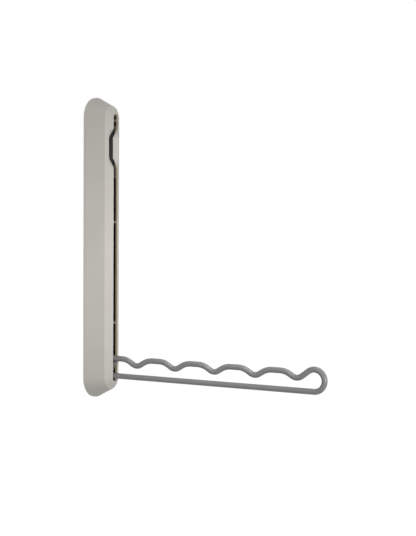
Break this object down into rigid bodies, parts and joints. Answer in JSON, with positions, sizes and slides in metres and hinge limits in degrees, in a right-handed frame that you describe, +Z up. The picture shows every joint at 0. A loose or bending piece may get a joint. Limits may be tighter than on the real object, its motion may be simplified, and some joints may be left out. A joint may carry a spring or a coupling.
{
  "type": "retractable clothes rail",
  "caption": "Slim wall housing with a slot; a notched wire rail for hangers swings out and folds up into it.",
  "frame": {"origin": "middle of the two wall screw holes, on the back face of the plate", "axes": "+Y into the wall, -Y to the front, +Z up along the housing, +X across it"},
  "size_m": [0.046, 0.275, 0.324],
  "materials": {
    "cover_plastic": "satin moulded",
    "coated_wire": "matt coated steel",
    "cast_metal": "as cast, painted",
    "dark_plastic": "matt",
    "plated_steel": "zinc plated",
    "nylon": "natural",
    "soft_pad": "soft"
  },
  "bodies": {
    "housing": {"housing_cover": "cover_plastic", "wall_plate": "cover_plastic", "hinge_strip": "plated_steel", "strip_rivets": "plated_steel", "cover_screws": "plated_steel", "hinge_pin": "plated_steel", "pin_clip": "plated_steel", "left_thrust_washer": "nylon", "right_spring_washer": "plated_steel", "down_stop_pad": "soft_pad", "fold_stop_pad": "soft_pad", "lower_rail_bumper": "soft_pad", "upper_rail_bumper": "soft_pad", "lower_wall_pad": "soft_pad", "upper_wall_pad": "soft_pad", "left_grip_insert": "dark_plastic", "right_grip_insert": "dark_plastic"},
    "rail": {"wire_rail": "coated_wire", "hinge_block": "cast_metal", "left_pivot_bush": "nylon", "right_pivot_bush": "nylon"}
  },
  "joints": [
    {"name": "rail_fold", "type": "hinge", "parent": "housing", "child": "rail", "pos_m": [0, -0.015, -0.1267], "axis": [-1, 0, 0], "range_deg": [0, 90]}
  ]
}
